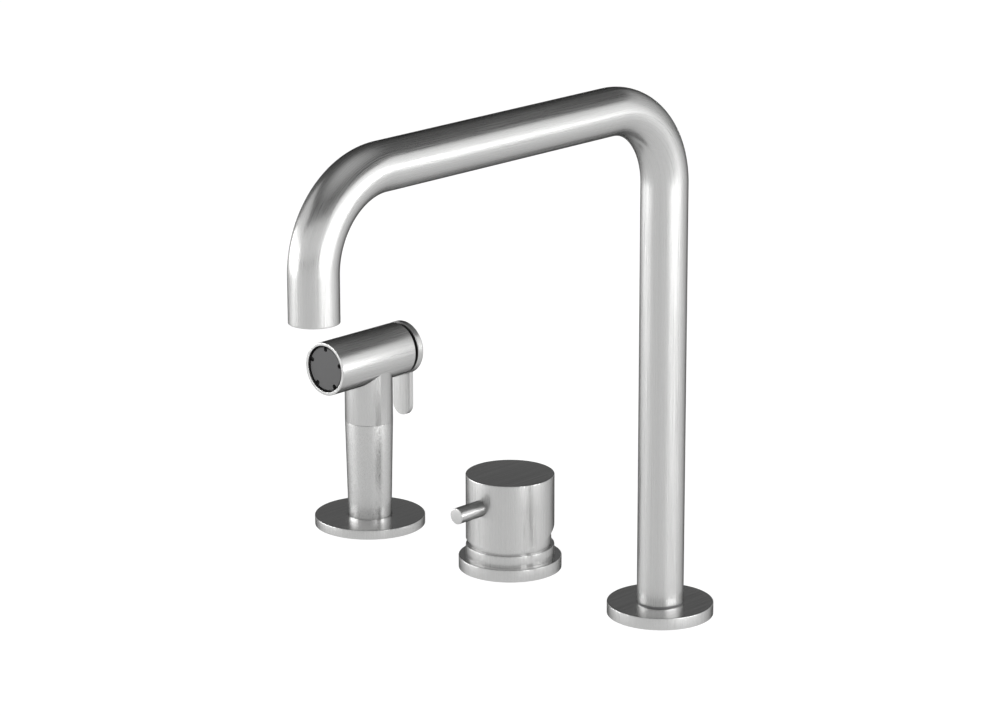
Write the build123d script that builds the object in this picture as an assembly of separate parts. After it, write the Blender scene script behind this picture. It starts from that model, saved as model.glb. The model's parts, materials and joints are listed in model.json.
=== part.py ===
# Side spray kitchen faucet: three deck units in a row, each through its own hole.
# Spout at x = 0, mixer control at x = -pitch, pull-out side spray at x = -2 * pitch.
# Millimetres. +Z is up, z = 0 is the top of the worktop, and -Y points to the user.
from build123d import *
from math import atan2, cos, degrees, pi, radians, sin, sqrt, tan
import os

# ---- the row of units and the worktop ----
pitch = 110.0
deck_thickness = 30.0
edge_break = 0.4

# ---- fits ----
running_gap = 0.05
face_gap = 0.1
moving_gap = 0.4
oring_gap = 0.02

# ---- deck fixings, the same under all three units ----
shank_r = 16.6
shank_depth = 62.0
rubber_washer_width = 10.4
rubber_washer_t = 2.0
steel_washer_width = 9.4
steel_washer_t = 2.0
washer_bore_gap = 0.3
nut_wall = 4.4
nut_t = 9.0
nut_corner_chamfer = 1.0
gasket_inset = 4.0
gasket_shank_gap = 3.4
gasket_t = 1.5
tail_r = 5.0
tail_thread_r = 4.6
tail_bore_r = 3.0
tail_length = 14.0
tail_hold = 12.0

# ---- spout ----
tube_r = 12.5
tube_wall = 1.5
spout_height = 280.5
spout_reach = 252.0
bend_r = 45.0
outlet_drop = 68.0
spout_flange_r = 28.5
spout_flange_t = 6.5
shank_shoulder_drop = 2.5
swivel_washer_t = 0.5
bush_wall = 1.95
bush_length = 34.0
post_wall = 3.5
post_height = 37.5
stop_angle = 75.0
stop_screw_r = 2.5
stop_screw_height = 10.5
stop_groove_depth = 1.4
stop_gap = 0.3
stop_key_r = 1.25
seal_wire_r = 0.9
seal_heights = (20.5, 27.5)
seal_groove_gap = 0.25
lower_bore_depth = 14.0
cap_gasket_t = 1.0
spout_cap_t = 8.0
tail_edge = 0.5
tail_offset = 6.5
aerator_t = 12.0
aerator_recess = 0.8
aerator_wall = 2.2
aerator_seal_t = 1.5
aerator_lip = 1.2
aerator_slot_w = 2.0
flow_plate_t = 3.0
flow_hole_r = 0.9
flow_hole_step = 2.5

# ---- diverter in the spout's shank ----
poppet_overlap = 1.3
poppet_h = 5.0
poppet_rim = 1.8
poppet_rim_t = 1.5
poppet_stroke = 2.6
poppet_stem_r = 2.5
poppet_stem_length = 16.0
poppet_seal_t = 1.2
poppet_seal_wall = 0.7
cage_wall = 2.0
cage_floor_t = 4.0
cage_boss_wall = 2.0
cage_port_r = 1.8
cage_port_count = 6
diverter_wire_r = 0.35
diverter_turns = 3

# ---- mixer control ----
control_flange_r = 28.5
control_flange_t = 6.9
collar_h = 6.5
knob_r = 24.5
knob_gap = 3.6
knob_h = 36.7
knob_cut_y = -4.0
knob_cut_angle = 22.0
knob_lip = 1.3
knob_wall = 5.0
knob_roof = 3.5
knob_boss_r = 8.0
tilt_angle = 25.0
pivot_drop = 1.0
cover_rise = 14.0
cover_mouth_gap = 4.0
chamber_wall = 3.6
clamp_thread_wall = 2.1
clamp_nut_t = 5.0
clamp_nut_width = 3.9
clamp_notch_w = 3.0
body_rim = 2.1
stem_arm = 10.0
stem_w = 5.0
stem_d = 7.0
stem_neck_r = 1.9
stem_neck_h = 3.0
stem_roof_gap = 2.2
stem_pin_r = 1.5
ball_r = 2.6
ball_gap = 0.2
ball_sink = 0.4
cartridge_gasket_t = 1.0
cartridge_base_t = 3.0
fixed_disc_t = 3.5
moving_disc_t = 3.5
driver_t = 4.4
driver_floor = 0.4
housing_wall = 2.5
lid_t = 2.5
spindle_foot_t = 2.8
spindle_over_pin = 5.0
spindle_wall = 0.8
supply_port_x = 3.2
supply_port_y = -2.6
supply_port_r = 1.5
mixed_port_y = 1.0
mixed_port_r = 2.2
pocket_r = 2.8
pocket_half = 3.0
way_r = 2.2
supply_tail_x = 7.5
supply_tail_y = -4.6
mixed_tail_y = 9.0
lever_r = 4.5
lever_rise = 22.05
lever_reach = 42.6
lever_seat = 1.5
lever_stud_r = 3.0
knob_screw_r = 2.5
knob_screw_length = 5.5
plug_r = 3.5
plug_t = 2.0
plug_stand = 0.2

# ---- side spray ----
spray_flange_r = 31.5
spray_flange_t = 5.3
dock_lip_t = 1.5
dock_gap = 0.35
dock_seat_drop = 0.8
dock_step_t = 12.0
dock_step_gap = 0.6
hose_way_wall = 3.6
sleeve_wall = 1.55
sleeve_length = 27.75
grip_base_r = 12.33
grip_top_r = 13.65
grip_seam_z = 61.4
seam_chamfer = 0.2
spigot_step = 0.33
spigot_length = 23.8
spigot_wall = 3.0
neck_wall = 2.65
neck_length = 10.0
neck_washer_t = 1.0
water_way_r = 6.0
connector_r = 7.5
connector_length = 14.0
connector_hold = 14.0
connector_bore_r = 4.0
connector_chamfer = 0.8
head_z = 98.5
head_r = 15.2
head_front = -34.3
head_back = 23.3
head_chamfer = 0.9
rim_wall = 1.8
face_recess = 4.3
face_groove = 0.9
face_set_back = 0.9
face_t = 2.1
notch_r = 1.35
notch_depth = 2.55
notch_count = 5
chamber_shell = 4.2
seat_depth = 18.3
seat_t = 2.0
seat_hole_r = 4.2
valve_head_r = 6.0
valve_head_t = 3.0
valve_seal_edge = 0.4
valve_seal_t = 1.5
rod_r = 1.6
button_r = 2.4
button_t = 1.0
button_play = 0.6
valve_spring_r = 4.6
valve_wire_r = 0.5
valve_turns = 8
gland_wire_r = 0.8
rear_plug_length = 15.3
rear_plug_shell = 2.6
groove_w = 1.8
cap_overhang = 0.1
cap_t = 4.2
cap_round = 1.0
cap_web = 1.0
paddle_w = 13.3
paddle_t = 3.2
paddle_bottom = 58.6
trigger_pin_r = 1.0
trigger_pin_inset = 0.5
trigger_pin_drop = 8.0
ear_r = 2.1
ear_t = 3.2
tongue_w = 5.2
keyhole_rise = 5.0

# ---- heights and radii worked out from the sizes above ----
control_x = -pitch
spray_x = -2 * pitch
shank_bottom = -shank_depth
lower_bore_r = tail_offset + tail_r + tail_edge
lower_bore_top = -lower_bore_depth

outlet_z = spout_height - outlet_drop
tube_bore_r = tube_r - tube_wall
tube_bottom = spout_flange_t + swivel_washer_t + face_gap
bush_bore_r = tube_bore_r - bush_wall
post_r = bush_bore_r - running_gap
post_bore_r = post_r - post_wall
shank_shoulder = spout_flange_t - shank_shoulder_drop
stop_screw_z = spout_flange_t + stop_screw_height
seal_centre_r = bush_bore_r - oring_gap - seal_wire_r

poppet_r = post_bore_r + poppet_overlap
poppet_top = lower_bore_top - poppet_stroke - face_gap
poppet_rim_top = poppet_top - poppet_h
poppet_bottom = poppet_rim_top - poppet_rim_t
cage_bore_r = lower_bore_r - cage_wall
cage_boss_r = poppet_stem_r + running_gap + cage_boss_wall
cage_bottom = poppet_bottom - poppet_stem_length + poppet_stroke
diverter_spring_r = poppet_r + moving_gap + diverter_wire_r

collar_top = control_flange_t + collar_h
knob_bottom = collar_top + knob_gap
knob_top = knob_bottom + knob_h
pivot_z = knob_bottom - pivot_drop
cover_r = knob_r - knob_lip - moving_gap
cover_top = pivot_z + cover_rise
hollow_r = cover_r + moving_gap
boss_bottom = pivot_z + hollow_r
stem_top = knob_top - knob_roof - stem_roof_gap
lever_z = knob_bottom + lever_rise
knob_screw_z = (boss_bottom + stem_top) / 2

ball_z = pivot_z - stem_arm
driver_top = ball_z + ball_sink
moving_top = driver_top - driver_t
fixed_top = moving_top - moving_disc_t
base_top = fixed_top - fixed_disc_t
gasket_top = base_top - cartridge_base_t
chamber_floor = gasket_top - cartridge_gasket_t
foot_bottom = driver_top + face_gap
foot_top = foot_bottom + spindle_foot_t
lid_bottom = foot_top + face_gap
housing_top = lid_bottom + lid_t
clamp_top = housing_top + clamp_nut_t
body_top = clamp_top + body_rim
cartridge_r = shank_r - chamber_wall
clamp_nut_r = shank_r - clamp_thread_wall
housing_bore_r = cartridge_r - housing_wall
disc_stroke = stem_arm * sin(radians(tilt_angle))
disc_rest_y = disc_stroke / 2
disc_r = housing_bore_r - disc_rest_y - ball_gap
slot_half = stem_w / 2 + moving_gap
slot_front = -(disc_stroke + ball_r + moving_gap)
tilt_reach = spindle_over_pin * tan(radians(tilt_angle))
slot_back = stem_d / 2 / cos(radians(tilt_angle)) + tilt_reach + moving_gap
spindle_neck_r = sqrt(slot_front**2 + slot_half**2) + spindle_wall

spigot_r = grip_base_r - spigot_step
sleeve_bore_r = spigot_r + running_gap
sleeve_r = sleeve_bore_r + sleeve_wall
dock_bore_r = sleeve_r + running_gap
hose_way_r = shank_r - hose_way_wall
lip_bottom = spray_flange_t - dock_lip_t
sleeve_top = lip_bottom - running_gap
sleeve_bottom = sleeve_top - sleeve_length
dock_step_top = sleeve_bottom - running_gap
dock_step_bottom = dock_step_top - dock_step_t
spray_shank_top = sleeve_top - dock_seat_drop
grip_shoulder = sleeve_top + running_gap
spigot_bottom = grip_shoulder - spigot_length
grip_bore_r = spigot_r - spigot_wall
neck_r = grip_top_r - neck_wall
neck_bottom = grip_seam_z - neck_length

face_recess_r = head_r - rim_wall
face_r = face_recess_r - face_groove
recess_floor = head_front + face_recess
face_front = head_front + face_set_back
notch_circle = face_r - notch_depth + notch_r
chamber_r = head_r - chamber_shell
rear_bore_r = head_r - rear_plug_shell
chamber_back = head_back - rear_plug_length
seat_y = head_front + seat_depth
valve_seal_y = seat_y + running_gap
valve_head_y = valve_seal_y + valve_seal_t
spring_y = valve_head_y + valve_head_t
gland_r = rod_r + oring_gap + 2 * gland_wire_r
cap_front = head_back + groove_w
cap_back = cap_front + cap_t
button_y = cap_front + cap_web + button_play
button_room_back = button_y + button_t + button_play
trigger_pin_y = cap_front + trigger_pin_inset
trigger_pin_z = head_z - trigger_pin_drop
ear_x = (tongue_w + ear_t) / 2 + moving_gap
pocket_half_w = ear_x + ear_t / 2 + moving_gap
pocket_half_h = 2 * ear_r + moving_gap
pocket_floor = trigger_pin_y + ear_r + stop_gap


# ---- small builders ----
def disc(radius, bottom, top, x=0.0, y=0.0):
    """Upright cylinder between two heights."""
    stand = (Align.CENTER, Align.CENTER, Align.MIN)
    return Pos(x, y, bottom) * Cylinder(radius, top - bottom, align=stand)


def ring(outer_r, inner_r, bottom, top):
    """Upright ring between two heights."""
    return disc(outer_r, bottom, top) - disc(inner_r, bottom, top)


def rod_y(radius, front, back, x=0.0, z=0.0):
    """Cylinder along Y from front to back."""
    stand = (Align.CENTER, Align.CENTER, Align.MIN)
    return Pos(x, front, z) * Rot(-90, 0, 0) * Cylinder(radius, back - front, align=stand)


def rod_x(radius, length, y, z):
    """Cylinder along X, centred on x = 0."""
    return Pos(0, y, z) * Rot(0, 90, 0) * Cylinder(radius, length)


def block(x_range, y_range, z_range):
    """Box between two corners."""
    sides = [high - low for low, high in (x_range, y_range, z_range)]
    corner = Pos(x_range[0], y_range[0], z_range[0])
    return corner * Box(*sides, align=(Align.MIN, Align.MIN, Align.MIN))


def ring_sector(outer_r, inner_r, bottom, top, middle_angle, half_angle):
    """Part of a ring, half_angle to each side of a direction."""
    corners = [(inner_r, 0, bottom), (outer_r, 0, bottom), (outer_r, 0, top), (inner_r, 0, top)]
    section = make_face(Polyline(*corners, close=True))
    return Rot(0, 0, middle_angle - half_angle) * revolve(section, Axis.Z, 2 * half_angle)


def slot_hole(start, end, radius, bottom, top):
    """Upright hole with round ends, from one XY point to another."""
    dx, dy = end[0] - start[0], end[1] - start[1]
    length = sqrt(dx * dx + dy * dy)
    ground = Plane((start[0], start[1], bottom), x_dir=(dx, dy, 0), z_dir=(0, 0, 1))
    outline = ground * Pos(length / 2, 0) * SlotCenterToCenter(length, 2 * radius)
    return extrude(outline, top - bottom)


def break_edge(solid, radius, height, size=edge_break):
    """Rounds the circular edge of one radius at one height."""
    circles = solid.edges().filter_by(GeomType.CIRCLE)
    chosen = [e for e in circles if abs(e.radius - radius) + abs(e.arc_center.Z - height) < 0.001]
    return fillet(chosen, size)


def coil_spring(mean_r, wire_r, length, turns):
    """Coil along +Z from z = 0, one unbroken tube on two arcs for each quarter turn."""
    rise = (length - 2 * wire_r) / turns
    slope = rise / (2 * pi)

    def place(angle):
        return Vector(mean_r * cos(angle), mean_r * sin(angle), wire_r + slope * angle)

    def heading(angle):
        return Vector(-mean_r * sin(angle), mean_r * cos(angle), slope).normalized()

    edges = []
    for quarter in range(4 * turns):
        start, end = place(quarter * pi / 2), place((quarter + 1) * pi / 2)
        leaving, arriving = heading(quarter * pi / 2), heading((quarter + 1) * pi / 2)
        chord = end - start
        # the two arcs have tangents of one length, so that they meet in one direction
        a = 2 * (1 - leaving.dot(arriving))
        b = 2 * chord.dot(leaving + arriving)
        reach = (sqrt(b * b + 4 * a * chord.dot(chord)) - b) / (2 * a)
        middle = (start + leaving * reach + end - arriving * reach) * 0.5
        across = (chord - (leaving + arriving) * reach).normalized()
        edges.append(Edge.make_tangent_arc(start, leaving, middle))
        edges.append(Edge.make_tangent_arc(middle, across, end))
    print("least gap between turns of a coil:", round(rise - 2 * wire_r, 2), "mm")
    section = Plane(origin=place(0), z_dir=heading(0)) * Circle(wire_r)
    return sweep(section, path=Wire(edges))


def save(node, shape, x=0.0):
    """Writes one named sub-part, moved to its unit."""
    export_step(Pos(x, 0, 0) * shape, "parts/" + node + ".step")


def save_group(node, shapes):
    """Writes separate solids as one named sub-part."""
    export_step(Compound(children=shapes), "parts/" + node + ".step")


# ---- deck fixings ----
def under_each_unit(shape):
    """Copies of one piece, one under every unit."""
    return [Pos(x, 0, 0) * shape for x in (0, control_x, spray_x)]


def deck_gasket(flange_r):
    return ring(flange_r - gasket_inset, shank_r + gasket_shank_gap, 0, gasket_t)


def flange(radius, thickness):
    """Round deck flange with a ring groove below for its gasket."""
    plate = break_edge(disc(radius, 0, thickness), radius, thickness)
    return plate - deck_gasket(radius)


def deck_washer(width, top, thickness):
    bore_r = shank_r + washer_bore_gap
    return ring(shank_r + width, bore_r, top - thickness, top)


def lock_nut(top):
    """Hexagon nut with chamfered corners."""
    corner_r = (shank_r + nut_wall) * 2 / sqrt(3)
    hexagon = Pos(0, 0, top - nut_t) * extrude(RegularPolygon(corner_r, 6), nut_t)
    turned = disc(corner_r, top - nut_t, top)
    turned = chamfer(turned.edges().filter_by(GeomType.CIRCLE), nut_corner_chamfer)
    return (hexagon & turned) - disc(shank_r, top - nut_t, top)


def hose_tail(socket_bottom, x=0.0, y=0.0):
    """Short round tail for a hose, screwed into the socket above it."""
    low, high = socket_bottom - tail_length, socket_bottom + tail_hold
    outside = disc(tail_r, low, socket_bottom, x, y)
    outside = chamfer(outside.faces().sort_by(Axis.Z)[0].edges(), edge_break)
    outside += disc(tail_thread_r, socket_bottom, high, x, y)
    return outside - disc(tail_bore_r, low, high, x, y)


# ---- spout ----
def spout_tube():
    """Bent tube: up, forward and down, with a hole for the stop screw behind."""
    path = FilletPolyline(
        (0, 0, tube_bottom),
        (0, 0, spout_height),
        (0, -spout_reach, spout_height),
        (0, -spout_reach, outlet_z),
        radius=bend_r,
    )
    foot = Plane((0, 0, tube_bottom))
    tube = sweep(foot * Circle(tube_r), path=path) - sweep(foot * Circle(tube_bore_r), path=path)
    return tube - rod_y(stop_screw_r, post_r, 2 * tube_r, z=stop_screw_z)


def spout_flange():
    plate = flange(spout_flange_r, spout_flange_t)
    plate -= disc(shank_r, 0, shank_shoulder)
    return plate - disc(post_r, shank_shoulder, spout_flange_t)


def stop_groove():
    """Groove around the back of the post. Its ends stop the spout's swing."""
    tip_r = post_r - stop_groove_depth + stop_gap
    half_angle = stop_angle + degrees(atan2(stop_screw_r, tip_r)) + degrees(stop_gap / tip_r)
    half_height = stop_screw_r + stop_gap
    low, high = stop_screw_z - half_height, stop_screw_z + half_height
    return ring_sector(2 * post_r, post_r - stop_groove_depth, low, high, 90, half_angle)


def spout_shank():
    """Threaded shank below the deck with the swivel post on top, turned in one piece."""
    post_top = spout_flange_t + post_height
    post = break_edge(disc(post_r, shank_shoulder, post_top), post_r, post_top)
    body = disc(shank_r, shank_bottom, shank_shoulder) + post
    body -= disc(lower_bore_r, shank_bottom, lower_bore_top)
    body -= disc(post_bore_r, lower_bore_top, post_top)
    half_groove = seal_wire_r + seal_groove_gap
    for rise in seal_heights:
        middle = spout_flange_t + rise
        floor_r = seal_centre_r - seal_wire_r
        body -= ring(2 * post_r, floor_r, middle - half_groove, middle + half_groove)
    return body - stop_groove()


def swivel_seals():
    """O-rings in the post's two grooves."""
    return [Pos(0, 0, spout_flange_t + rise) * Torus(seal_centre_r, seal_wire_r) for rise in seal_heights]


def swivel_washer():
    top = spout_flange_t + swivel_washer_t
    return ring(tube_r - washer_bore_gap, post_r + washer_bore_gap, spout_flange_t, top)


def swivel_bush():
    bush = ring(tube_bore_r, bush_bore_r, tube_bottom, tube_bottom + bush_length)
    return bush - rod_y(stop_screw_r, 0, 2 * tube_r, z=stop_screw_z)


def swivel_stop_screw():
    """Grub screw through the back of the tube, its tip in the post's groove."""
    tip = post_r - stop_groove_depth + stop_gap
    back = tube_r - edge_break
    screw = rod_y(stop_screw_r, tip, back, z=stop_screw_z)
    key = extrude(RegularPolygon(stop_key_r, 6, major_radius=False), (back - tip) / 2)
    return screw - Pos(0, (tip + back) / 2, stop_screw_z) * Rot(-90, 0, 0) * key


def aerator_housing():
    """Threaded insert in the outlet, with a cross of slots for its key."""
    bottom = outlet_z + aerator_recess
    inner_r = tube_bore_r - aerator_wall
    shell = ring(tube_bore_r, inner_r, bottom, bottom + aerator_t)
    shell += ring(inner_r, inner_r - aerator_lip, bottom, bottom + aerator_lip)
    for turn in (0, 90):
        slot = Rot(0, 0, turn) * Box(4 * tube_r, aerator_slot_w, aerator_lip)
        shell -= Pos(0, 0, bottom) * slot
    return Pos(0, -spout_reach, 0) * shell


def aerator_plate():
    """Drilled plate that parts the water into straight jets."""
    plate_r = tube_bore_r - aerator_wall
    bottom = outlet_z + aerator_recess + aerator_lip
    top = bottom + flow_plate_t
    reach = plate_r - aerator_lip - flow_hole_r
    row_step = flow_hole_step * sqrt(3) / 2
    rows = int(reach / row_step)
    holes = []
    for row in range(-rows, rows + 1):
        for column in range(-rows - 1, rows + 2):
            x = (column + row % 2 / 2) * flow_hole_step
            if x * x + (row * row_step) ** 2 < reach * reach:
                holes.append(disc(flow_hole_r, bottom, top, x, row * row_step))
    return Pos(0, -spout_reach, 0) * (disc(plate_r, bottom, top) - holes)


def aerator_seal():
    bottom = outlet_z + aerator_recess + aerator_t
    seal = ring(tube_bore_r, tube_bore_r - aerator_wall, bottom, bottom + aerator_seal_t)
    return Pos(0, -spout_reach, 0) * seal


def cap_gasket():
    return ring(shank_r, lower_bore_r, shank_bottom - cap_gasket_t, shank_bottom)


def spout_cap():
    """Cap that closes the shank's lower end and carries the two hose tails."""
    top = shank_bottom - cap_gasket_t
    bottom = top - spout_cap_t
    cap = break_edge(disc(shank_r, bottom, top), shank_r, bottom)
    cap += disc(lower_bore_r, top, bottom + tail_hold)
    sockets = [disc(tail_thread_r, bottom, bottom + tail_hold, side * tail_offset) for side in (-1, 1)]
    return cap - sockets


def spout_tail(side):
    return hose_tail(shank_bottom - cap_gasket_t - spout_cap_t, side * tail_offset)


# ---- diverter ----
def diverter_cage():
    """Cup in the shank's bore that guides the poppet's stem and lets water past."""
    floor_top = cage_bottom + cage_floor_t
    cage = disc(lower_bore_r, cage_bottom, floor_top)
    cage += ring(lower_bore_r, cage_bore_r, floor_top, lower_bore_top)
    cage += disc(cage_boss_r, floor_top, poppet_bottom - face_gap)
    cage -= disc(poppet_stem_r + running_gap, cage_bottom, poppet_bottom)
    port_circle = (cage_boss_r + cage_bore_r) / 2
    for port in range(cage_port_count):
        spot = Rot(0, 0, 360 * port / cage_port_count) * Pos(port_circle, 0, 0)
        cage -= spot * disc(cage_port_r, cage_bottom, floor_top)
    return cage


def diverter_seal():
    """Rubber pad let into the top of the poppet."""
    return disc(poppet_r - poppet_seal_wall, poppet_top - poppet_seal_t, poppet_top)


def diverter_poppet():
    poppet = disc(poppet_r, poppet_rim_top, poppet_top)
    poppet += disc(poppet_r + poppet_rim, poppet_bottom, poppet_rim_top)
    poppet += disc(poppet_stem_r, poppet_bottom - poppet_stem_length, poppet_bottom)
    return poppet - diverter_seal()


def diverter_spring():
    length = lower_bore_top - poppet_rim_top
    coil = coil_spring(diverter_spring_r, diverter_wire_r, length, diverter_turns)
    return Pos(0, 0, poppet_rim_top) * coil


# ---- mixer control: body and cartridge ----
tail_places = ((-supply_tail_x, supply_tail_y), (supply_tail_x, supply_tail_y), (0, mixed_tail_y))


def cartridge_ways(bottom, top):
    """Hot, cold and mixed ways, each a slot from a port in the discs to its tail."""
    ways = [slot_hole((0, mixed_port_y), (0, mixed_tail_y), mixed_port_r, bottom, top)]
    for side in (-1, 1):
        port = (side * supply_port_x, supply_port_y)
        tail = (side * supply_tail_x, supply_tail_y)
        ways.append(slot_hole(port, tail, supply_port_r, bottom, top))
    return ways


def control_flange():
    return flange(control_flange_r, control_flange_t) - disc(shank_r, 0, control_flange_t)


def body_collar():
    """Ring that screws down on the flange, as wide as the knob."""
    collar = disc(knob_r, control_flange_t, collar_top)
    collar = break_edge(collar, knob_r, collar_top)
    return collar - disc(shank_r, control_flange_t, collar_top)


def valve_body():
    """Shank and cartridge chamber in one piece, with three drilled ways."""
    body = disc(shank_r, shank_bottom, body_top)
    body -= disc(cartridge_r, chamber_floor, housing_top)
    body -= disc(clamp_nut_r, housing_top, body_top)
    for x, y in tail_places:
        body -= disc(way_r, shank_bottom, chamber_floor, x, y)
        body -= disc(tail_thread_r, shank_bottom, shank_bottom + tail_hold, x, y)
    return body


def cartridge_cover():
    """Domed cover, round about the tilt pivot, that screws on the body."""
    zone = disc(knob_r, collar_top, cover_top)
    dome = zone & (Pos(0, 0, pivot_z) * Sphere(cover_r))
    dome -= disc(shank_r, collar_top, body_top)
    return dome - disc(spindle_neck_r + cover_mouth_gap, body_top, cover_top)


def clamp_nut():
    """Ring nut that holds the cartridge down, with a cross of notches for its key."""
    nut = ring(clamp_nut_r, clamp_nut_r - clamp_nut_width, housing_top, clamp_top)
    for turn in (0, 90):
        notch = Rot(0, 0, turn) * Box(3 * clamp_nut_r, clamp_notch_w, clamp_nut_t)
        nut -= Pos(0, 0, clamp_top) * notch
    return nut


def cartridge_housing():
    shell = ring(cartridge_r, housing_bore_r, base_top, lid_bottom)
    return shell + ring(cartridge_r, spindle_neck_r + running_gap, lid_bottom, housing_top)


def cartridge_base():
    return disc(cartridge_r, gasket_top, base_top) - cartridge_ways(gasket_top, base_top)


def cartridge_gasket():
    return disc(cartridge_r, chamber_floor, gasket_top) - cartridge_ways(chamber_floor, gasket_top)


def fixed_disc():
    """Lower ceramic disc with the two supply ports and the mixed outlet."""
    plate = disc(housing_bore_r, base_top, fixed_top)
    for side in (-1, 1):
        plate -= disc(supply_port_r, base_top, fixed_top, side * supply_port_x, supply_port_y)
    return plate - disc(mixed_port_r, base_top, fixed_top, 0, mixed_port_y)


def moving_disc():
    """Upper ceramic disc with a mixing pocket in its lower face."""
    plate = disc(disc_r, fixed_top, moving_top, 0, disc_rest_y)
    pocket_top = (fixed_top + moving_top) / 2
    ends = (-pocket_half, disc_rest_y), (pocket_half, disc_rest_y)
    return plate - slot_hole(*ends, pocket_r, fixed_top, pocket_top)


def disc_driver():
    """Carrier on the moving disc, with a socket for the stem's ball."""
    plate = disc(disc_r, moving_top, driver_top, 0, disc_rest_y)
    return plate - disc(ball_r + ball_gap, moving_top + driver_floor, driver_top)


def spindle():
    """Turning guide with the slot and the pin hole for the stem."""
    body = disc(housing_bore_r - running_gap, foot_bottom, foot_top)
    body += disc(spindle_neck_r, foot_top, pivot_z + spindle_over_pin)
    slot = block((-slot_half, slot_half), (slot_front, slot_back), (foot_bottom, 2 * pivot_z))
    return body - slot - rod_x(stem_pin_r, 4 * spindle_neck_r, 0, pivot_z)


def stem_pin():
    return rod_x(stem_pin_r, 2 * spindle_neck_r - 2 * edge_break, 0, pivot_z)


# ---- mixer control: knob and stem ----
def stem_bar(bottom, top):
    return block((-stem_w / 2, stem_w / 2), (-stem_d / 2, stem_d / 2), (bottom, top))


def cartridge_stem():
    """Flat steel stem that tilts on the pin, with a ball below and the knob on top."""
    stem = stem_bar(ball_z + stem_neck_h, stem_top)
    stem += disc(stem_neck_r, ball_z, ball_z + stem_neck_h)
    stem += Pos(0, 0, ball_z) * Sphere(ball_r)
    return stem - rod_x(stem_pin_r + running_gap, 2 * stem_w, 0, pivot_z)


def knob():
    """Round knob with a slanted cut low at the back, which clears the collar when it tilts."""
    shell = break_edge(disc(knob_r, knob_bottom, knob_top), knob_r, knob_top)
    cut = Pos(0, knob_cut_y, knob_bottom) * Rot(knob_cut_angle, 0, 0)
    shell -= cut * block((-2 * knob_r, 2 * knob_r), (0, 4 * knob_r), (-2 * knob_r, 0))
    shell -= Pos(0, 0, pivot_z) * Sphere(hollow_r)
    shell -= disc(knob_r - knob_wall, cover_top, knob_top - knob_roof)
    shell += disc(knob_boss_r, boss_bottom, knob_top - knob_roof)
    shell -= stem_bar(pivot_z, stem_top)
    shell -= rod_y(lever_r, -2 * knob_r, -knob_r + lever_seat, z=lever_z)
    shell -= rod_y(lever_stud_r, -knob_r, -knob_r + knob_wall, z=lever_z)
    shell -= rod_y(knob_screw_r, 0, knob_r, z=knob_screw_z)
    return shell - rod_y(plug_r, knob_r - plug_t, 2 * knob_r, z=knob_screw_z)


def lever_rod():
    """Round pin lever with a stud that screws into the knob's wall."""
    seat = -knob_r + lever_seat
    bar = rod_y(lever_r, -lever_reach, seat, z=lever_z)
    bar = chamfer(bar.faces().sort_by(Axis.Y)[0].edges(), edge_break)
    return bar + rod_y(lever_stud_r, seat, -knob_r + knob_wall, z=lever_z)


def knob_screw():
    return rod_y(knob_screw_r, stem_d / 2, stem_d / 2 + knob_screw_length, z=knob_screw_z)


def knob_plug():
    """Plug that covers the screw's access hole in the back of the knob."""
    plug = rod_y(plug_r, knob_r - plug_t, knob_r + plug_stand, z=knob_screw_z)
    return chamfer(plug.faces().sort_by(Axis.Y)[-1].edges(), plug_stand / 2)


# ---- side spray: dock ----
def spray_flange():
    plate = flange(spray_flange_r, spray_flange_t)
    plate -= disc(shank_r, 0, spray_shank_top)
    plate -= disc(dock_bore_r, spray_shank_top, lip_bottom)
    return plate - disc(grip_base_r + dock_gap, lip_bottom, spray_flange_t)


def spray_shank():
    """Hollow shank. The sleeve sits in its upper part and the hose runs through it."""
    shank = disc(shank_r, shank_bottom, spray_shank_top)
    shank -= disc(dock_bore_r, dock_step_top, spray_shank_top)
    shank -= disc(spigot_r + dock_step_gap, dock_step_bottom, dock_step_top)
    return shank - disc(hose_way_r, shank_bottom, dock_step_bottom)


def guide_sleeve():
    return ring(sleeve_r, sleeve_bore_r, sleeve_bottom, sleeve_top)


# ---- side spray: handset ----
def handle_grip():
    """Tapered hollow handle with a straight spigot below that stands in the dock."""
    outline = Polyline(
        (0, 0, spigot_bottom),
        (spigot_r, 0, spigot_bottom),
        (spigot_r, 0, grip_shoulder),
        (grip_base_r, 0, grip_shoulder),
        (grip_top_r, 0, grip_seam_z),
        (0, 0, grip_seam_z),
        close=True,
    )
    grip = revolve(make_face(outline), Axis.Z)
    grip = chamfer(grip.faces().sort_by(Axis.Z)[-1].edges(), seam_chamfer)
    grip -= disc(grip_bore_r, spigot_bottom, grip_seam_z)
    return grip - disc(neck_r, neck_bottom, grip_seam_z)


def neck_washer():
    return ring(neck_r, grip_bore_r, neck_bottom, neck_bottom + neck_washer_t)


def hose_connector():
    """Nipple at the foot of the handle, where the hose screws on."""
    low = spigot_bottom - connector_length
    nipple = disc(connector_r, low, spigot_bottom)
    nipple = chamfer(nipple.faces().sort_by(Axis.Z)[0].edges(), connector_chamfer)
    nipple += disc(grip_bore_r, spigot_bottom, spigot_bottom + connector_hold)
    return nipple - disc(connector_bore_r, low, spigot_bottom + connector_hold)


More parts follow.
